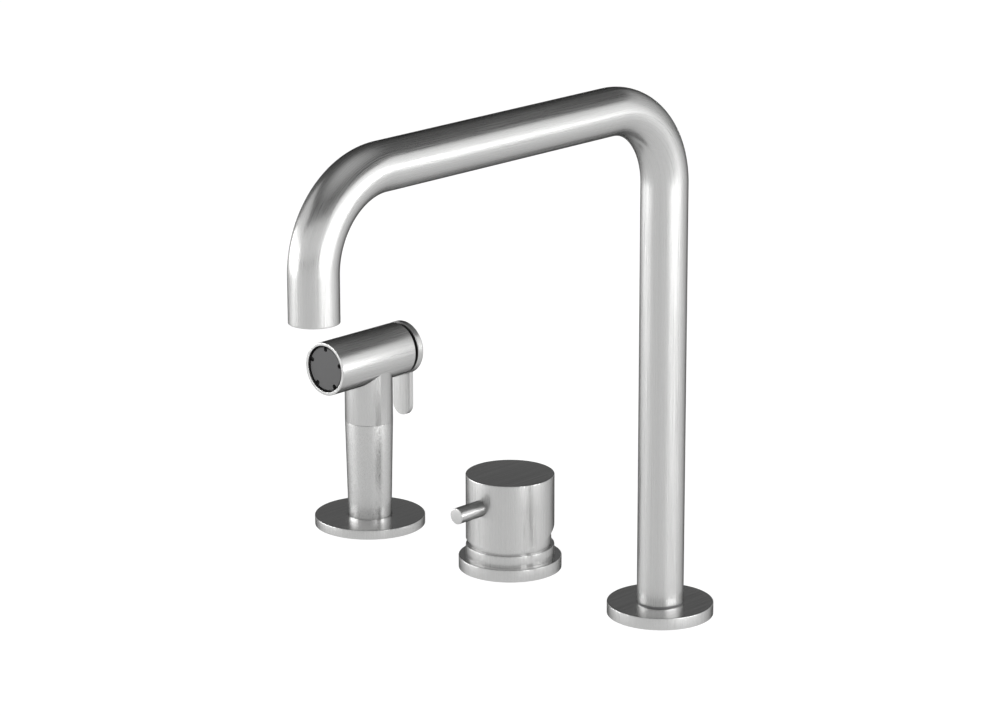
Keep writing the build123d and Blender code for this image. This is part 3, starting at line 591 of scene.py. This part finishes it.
def makeCollar(settings):
    # a closed outline turned about the control's axis
    radius, bore, bottom, top = (settings[key] for key in ("radius", "bore", "bottom", "top"))
    line = roundedLine([
        (bore, bottom, 0), (bore, top, 0), (radius, top, settings["edge"]),
        (radius, bottom, settings["footEdge"]), (bore + settings["footStep"], bottom, 0),
    ])
    collar = turned("controlCollar", line, (row["controlX"], 0, 0), settings["segments"], closed=True)
    brushAlong(collar, 2, 1)
    finishSteel(collar, "deck_units", "body_collar", paintedLightTops=True)


makeCollar(collarSet)


# the cover over the cartridge, a ball's zone about the knob's pivot
domeSet = {
    "radius": 22.8 * mm, "pivot": 16.0 * mm, "bottom": 13.4 * mm, "top": 30.0 * mm, "bore": 16.6 * mm,
    "mouth": 12.59 * mm, "shelf": 19 * mm, "steps": 48, "segments": 200,
}


def makeDome(settings):
    # outside: radius at a height = root of (ball's radius squared - height over the pivot squared)
    heights = np.linspace(settings["bottom"], settings["top"], settings["steps"])
    outside = np.sqrt(settings["radius"] ** 2 - (heights - settings["pivot"]) ** 2)
    inside = [
        (settings["mouth"], settings["top"]), (settings["mouth"], settings["shelf"]),
        (settings["bore"], settings["shelf"]), (settings["bore"], settings["bottom"]),
    ]
    line = np.concatenate([np.stack([outside, heights], 1), inside])
    dome = turned("cartridgeDome", line, (row["controlX"], 0, 0), settings["segments"], closed=True)
    brushAlong(dome, 2, 1)
    finishSteel(dome, "deck_units", "cartridge_cover")


makeDome(domeSet)
print("flanges, collar and dome made")


# the control's knob and its lever
knobSet = {
    "radius": 24.5 * mm, "bottom": 17.0 * mm, "top": 53.7 * mm, "edge": 0.4 * mm, "wall": 22 * mm,
    "cutY": -4.0 * mm, "cutAngle": 22.0,  # behind cutY the lower rim rises at this angle
    "hollow": 23.2 * mm, "pivot": 16.0 * mm,  # the hollow is part of a ball about the pivot
    "leverRadius": 4.5 * mm, "leverZ": 39.05 * mm, "leverSeat": 1.5 * mm, "leverReach": 42.6 * mm,
    "leverEdge": 0.45 * mm, "leverGap": 0.04 * mm, "leverSegments": 96,
    "plugRadius": 3.5 * mm, "plugZ": 43.6 * mm, "plugDepth": 2 * mm, "plugGap": 0.03 * mm,
    "segments": 240, "wallSteps": 10, "lipSteps": 5, "hollowSteps": 14, "holeSegments": 72,
}


def makeKnob(settings):
    # rings of (radius, height) by angle: top and wall, the lip to the hollow, then the hollow's ball;
    # a lip point's height = bottom + slope x how far it is behind cutY
    angles = np.linspace(0, 2 * pi, settings["segments"], endpoint=False)
    slope = np.tan(radians(settings["cutAngle"]))
    radius, bottom, pivot, hollow = (settings[key] for key in ("radius", "bottom", "pivot", "hollow"))

    def lipHeight(reach):
        return bottom + slope * np.clip(reach * np.sin(angles) - settings["cutY"], 0, None)

    top, wallTop = settings["top"], bottom + settings["wall"]
    topLine = roundedLine([(0, top, 0), (radius, top, settings["edge"]), (radius, wallTop, 0)])
    share = np.linspace(0, 1, settings["wallSteps"])[:, None]
    wallZ = wallTop + (lipHeight(radius)[None] - wallTop) * share
    wallR = radius + 0 * wallZ
    # the hollow's edge on the slant is where the ball meets the slant's height: a quadratic in the radius
    tilt, high = slope * np.sin(angles), bottom - pivot - slope * settings["cutY"]
    a, b, c = 1 + tilt**2, 2 * tilt * high, high**2 - hollow**2
    slanted = (-b + np.sqrt(b * b - 4 * a * c)) / (2 * a)
    level = np.sqrt(hollow**2 - (bottom - pivot) ** 2)
    innerR = np.where(slanted * np.sin(angles) > settings["cutY"], slanted, level)
    lipR = radius + (innerR[None] - radius) * np.linspace(0, 1, settings["lipSteps"])[1:, None]
    lipZ = lipHeight(lipR)
    low = np.arctan2(lipHeight(innerR) - pivot, innerR)
    lift = low[None] + (pi / 2 - low[None]) * np.linspace(0, 1, settings["hollowSteps"])[1:, None]
    cap = np.repeat(topLine[..., None], settings["segments"], 2)
    ringR = np.concatenate([cap[:, 0], wallR[1:], lipR, hollow * np.cos(lift)])
    ringZ = np.concatenate([cap[:, 1], wallZ[1:], lipZ, pivot + hollow * np.sin(lift)])
    points = np.stack([ringR * np.cos(angles), ringR * np.sin(angles), ringZ], -1)
    points += np.array([row["controlX"], 0, 0])
    knob = newPiece("controlKnob", points, gridFaces(len(ringR), settings["segments"], False))
    leverHole = (settings["leverRadius"] + settings["leverGap"], -2 * radius, settings["leverSeat"] - radius)
    plugHole = (settings["plugRadius"] + settings["plugGap"], radius - settings["plugDepth"], 2 * radius)
    for (size, near, far), z in ((leverHole, settings["leverZ"]), (plugHole, settings["plugZ"])):
        line = np.array([(0, near), (size, near), (size, far), (0, far)])
        centre = (row["controlX"], 0, z)
        cutBy(knob, turned("holeTool", line, centre, settings["holeSegments"], along="y"))
    brushAlong(knob, 2, 1)
    finishSteel(knob, "knob_lever", "knob", paintedLightTops=True)


def makeLever(settings):
    # a plain rod, from its rounded tip in front to its seat in the knob
    size, reach = settings["leverRadius"], -settings["leverReach"]
    seat = settings["leverSeat"] - settings["radius"]
    line = roundedLine([(0, reach, 0), (size, reach, settings["leverEdge"]), (size, seat, 0), (0, seat, 0)])
    centre = (row["controlX"], 0, settings["leverZ"])
    lever = turned("leverRod", line, centre, settings["leverSegments"], along="y")
    brushAlong(lever, 1, 2)
    finishSteel(lever, "knob_lever", "lever_rod")


makeKnob(knobSet)
makeLever(knobSet)
print("knob and lever made")


# the side spray's handle, from its spigot in the holder up to the seam
handleSet = {
    "baseRadius": 12.33 * mm, "topRadius": 13.65 * mm, "shoulder": 3.8 * mm, "seam": 61.4 * mm,
    "seamEdge": 0.2 * mm, "spigot": 12.0 * mm, "spigotBottom": -20.0 * mm, "spigotEdge": 0.2 * mm,
    "bore": 9.0 * mm, "segments": 200,
}


def makeHandle(settings):
    # a closed outline turned about the spray's axis; above the shoulder its radius grows evenly with the height
    bore, spigot, low = settings["bore"], settings["spigot"], settings["spigotBottom"]
    shoulder, seam = settings["shoulder"], settings["seam"]
    line = roundedLine([
        (bore, low, 0), (spigot, low, settings["spigotEdge"]), (spigot, shoulder, 0),
        (settings["baseRadius"], shoulder, 0), (settings["topRadius"], seam, settings["seamEdge"]),
        (bore, seam, 0),
    ])
    grip = turned("sprayGrip", line, (row["sprayX"], 0, 0), settings["segments"], closed=True)
    brushAlong(grip, 2, 1)
    finishSteel(grip, "handset", "handle_grip")


makeHandle(handleSet)


# the spray head: a lying barrel with a recess for the face and one for the plug, on a short neck
headSet = {
    "radius": 15.2 * mm, "z": 98.5 * mm, "front": -34.3 * mm, "back": 23.3 * mm,
    "frontEdge": 0.4 * mm, "backEdge": 0.9 * mm,
    "recess": 13.4 * mm, "recessDepth": 4.3 * mm, "recessEdge": 0.15 * mm,
    "plugBore": 12.6 * mm, "plugDepth": 3.0 * mm, "plugEdge": 0.1 * mm,
    "neck": 13.65 * mm, "neckBottom": 61.4 * mm, "neckEdge": 0.2 * mm,
    "neckTop": -6 * mm, "neckSlack": 0.3 * mm,  # faces this far under the axis and this near are the neck's
    "segments": 200,
}


def makeSprayHead(settings):
    # two outlines turned and joined, the barrel about a lying axis and the neck about an upright one
    radius, front, back, z = (settings[key] for key in ("radius", "front", "back", "z"))
    recess, seat = settings["recess"], front + settings["recessDepth"]
    plug, plugSeat = settings["plugBore"], back - settings["plugDepth"]
    line = roundedLine([
        (0, seat, 0), (recess, seat, 0), (recess, front, settings["recessEdge"]),
        (radius, front, settings["frontEdge"]), (radius, back, settings["backEdge"]),
        (plug, back, settings["plugEdge"]), (plug, plugSeat, 0), (0, plugSeat, 0),
    ])
    head = turned("sprayHead", line, (row["sprayX"], 0, z), settings["segments"], along="y")
    neck, low = settings["neck"], settings["neckBottom"]
    line = roundedLine([(0, low, 0), (neck, low, settings["neckEdge"]), (neck, z, 0), (0, z, 0)])
    cutBy(head, turned("neckTool", line, (row["sprayX"], 0, 0), settings["segments"]), "UNION")

    # brushed along the barrel, up and down on its ends, and up and down on the neck
    points, corners, normals = meshArrays(head.data)
    place = points[corners] - np.array([row["sprayX"], 0, z])
    fromAxis = np.hypot(place[:, 0], place[:, 1])
    facing = np.abs(normals[:, 0] * place[:, 0] + normals[:, 1] * place[:, 1])
    onNeck = (place[:, 2] < settings["neckTop"]) & (np.abs(fromAxis - neck) < settings["neckSlack"])
    onNeck &= facing > facingEnd * fromAxis
    isEnd = np.abs(normals[:, 1]) > facingEnd
    values = points[corners]
    values[onNeck | isEnd, 2] *= squeeze
    values[~onNeck & ~isEnd, 1] *= squeeze
    writeBrush(head.data, values)
    finishSteel(head, "handset", "spray_body")


makeSprayHead(headSet)
print("handle and spray head made")


# the springs behind the spray's valve and over the diverter's poppet, with the slide that presses each and its
# travel
coilShape = {"turnSteps": 36, "wireSegments": 16}
springSets = [
    {
        "name": "valveSpring", "node": "valve_spring", "body": "handset", "axis": 1,
        "wire": 0.5 * mm, "turns": 8, "joint": "valve_slide", "travel": 1.4 * mm,
    },
    {
        "name": "diverterSpring", "node": "diverter_spring", "body": "deck_units", "axis": 2,
        "wire": 0.35 * mm, "turns": 3, "joint": "diverter_slide", "travel": 2.6 * mm,
    },
]


def makeSpring(settings, shape):
    # a round wire carried up a helix, whose height grows evenly with its angle; both ends are closed
    low, high = (np.array(corner, float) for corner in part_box(settings["node"]))
    axis, wire, turns = settings["axis"], settings["wire"], settings["turns"]
    first, second = [k for k in range(3) if k != axis]
    coil = (high[first] - low[first]) / 2 - wire
    length = high[axis] - low[axis]
    angle = np.linspace(0, 2 * pi * turns, shape["turnSteps"] * turns + 1)
    rise = (length - 2 * wire) / angle[-1]
    out = np.stack([np.cos(angle), np.sin(angle), 0 * angle], 1)
    ahead = np.stack([-coil * np.sin(angle), coil * np.cos(angle), 0 * angle + rise], 1)
    ahead /= np.linalg.norm(ahead, axis=1)[:, None]
    up = np.cross(ahead, out)
    middle = coil * out + np.stack([0 * angle, 0 * angle, wire + rise * angle], 1)
    segments = shape["wireSegments"]
    turn = np.linspace(0, 2 * pi, segments, endpoint=False)[None, :, None]
    rings = middle[:, None] + wire * (np.cos(turn) * out[:, None] + np.sin(turn) * up[:, None])
    ends = np.broadcast_to(middle[[0, -1]][:, None], (2, segments, 3))
    rings = np.concatenate([ends[:1], rings, ends[1:]])
    points = np.zeros_like(rings)
    centre = (low + high) / 2
    points[..., first], points[..., second] = rings[..., 0] + centre[first], rings[..., 1] + centre[second]
    points[..., axis] = rings[..., 2] + low[axis]
    spring = newPiece(settings["name"], points, gridFaces(len(rings), segments, False))
    brushAlong(spring, axis, axis)
    finishSteel(spring, settings["body"], settings["node"])
    anchor, direction = centre.copy(), [0, 0, 0]
    anchor[axis], direction[axis] = high[axis], 1
    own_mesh(spring)


for springSet in springSets:
    makeSpring(springSet, coilShape)
print("springs made")


# floor and sky; the floor glows for the camera, in mirror images and through glass only
stageSet = {
    "floorSize": 20.0,
    "floorColour": (0.25, 0.25, 0.25, 1),
    "floorRoughness": 0.9,
    "floorGlow": 0.9,
    "skyStops": [(0.0, 0.135), (0.78, 0.135), (0.94, 0.60), (1.0, 0.80)],  # by the sine of the angle up
}


def makeFloor(settings):
    # one square face; its glow is floorGlow for camera, mirror and glass rays, and nothing for others
    size = settings["floorSize"] / 2
    corners = [(-size, -size, 0), (size, -size, 0), (size, size, 0), (-size, size, 0)]
    mesh = bpy.data.meshes.new("floor")
    mesh.from_pydata(corners, [], [(0, 1, 2, 3)])
    floor = bpy.data.objects.new("floor", mesh)
    bpy.context.scene.collection.objects.link(floor)
    material, start = newMaterial("paleFloor")
    camera, mirror, glass = (
        start.node("ShaderNodeLightPath", {}, {}, key)
        for key in ("Is Camera Ray", "Is Glossy Ray", "Is Transmission Ray")
    )
    shader = start.node(
        "ShaderNodeBsdfPrincipled",
        {},
        {
            "Base Color": settings["floorColour"],
            "Roughness": settings["floorRoughness"],
            "Specular IOR Level": 0.0,
            "Emission Color": (1, 1, 1, 1),
            "Emission Strength": (camera + mirror + glass) * settings["floorGlow"],
        },
    )
    endMaterial(start, shader)
    mesh.materials.append(material)


def makeWorld(settings):
    # grey by the height component of the direction, which is the sine of the angle over the horizon
    world = bpy.data.worlds.new("paleRoom")
    world.use_nodes = True
    world.node_tree.nodes.clear()
    start = Wire(world.node_tree, None)
    heading = start.node("ShaderNodeTexCoord", {}, {}, "Generated")
    height = start.node("ShaderNodeSeparateXYZ", {}, {"Vector": heading}, "Z")
    shade = start.node("ShaderNodeValToRGB", {"stops": settings["skyStops"]}, {"Fac": height})
    light = start.node("ShaderNodeBackground", {}, {"Color": shade, "Strength": 1.0})
    start.node("ShaderNodeOutputWorld", {}, {"Surface": light})
    bpy.context.scene.world = world


makeFloor(stageSet)
makeWorld(stageSet)


# lamps stand upright on a circle; azimuths are degrees from +X, turning towards +Y
lampCircle = {"radius": 3.0, "centreY": -0.1}
lampSets = [
    {"name": "rightPanel", "azimuths": (-18, 37), "bottom": 0.40, "top": 1.95, "radiance": 1.75},
    {"name": "rightFoot", "azimuths": (-18, 37), "bottom": 0.02, "top": 0.40, "radiance": 19.0},
    {"name": "cornerPanel", "azimuths": (37, 60), "bottom": 0.10, "top": 2.2, "radiance": 1.45},
    {"name": "backPanel", "azimuths": (60, 116), "bottom": 0.30, "top": 1.95, "radiance": 0.9},
    {"name": "leftPanel", "azimuths": (-176, -120), "bottom": 0.40, "top": 2.4, "radiance": 0.95},
    {"name": "leftFoot", "azimuths": (-176, -120), "bottom": 0.02, "top": 0.40, "radiance": 19.0},
    {"name": "frontPanel", "azimuths": (-118, -20), "bottom": 0.30, "top": 1.6, "radiance": 1.1},
]


def makeLamp(settings, circle):
    # a flat panel across the arc between its azimuths; power = radiance x area x pi
    first, last = (radians(angle) for angle in settings["azimuths"])
    turn, half = (first + last) / 2, (last - first) / 2
    wide, tall = 2 * circle["radius"] * sin(half), settings["top"] - settings["bottom"]
    reach, height = circle["radius"] * cos(half), settings["bottom"] + tall / 2
    place = Vector((reach * cos(turn), reach * sin(turn) + circle["centreY"], height))
    data = bpy.data.lights.new(settings["name"], "AREA")
    data.shape, data.size, data.size_y = "RECTANGLE", wide, tall
    data.energy = settings["radiance"] * wide * tall * pi
    lamp = bpy.data.objects.new(settings["name"], data)
    lamp.location = place
    lamp.rotation_euler = (Vector((0, circle["centreY"], height)) - place).to_track_quat("-Z", "Y").to_euler()
    lamp.visible_camera = False
    bpy.context.scene.collection.objects.link(lamp)


for lampSet in lampSets:
    makeLamp(lampSet, lampCircle)
bpy.context.scene.view_settings.view_transform = "Standard"
print("floor and lamps made")
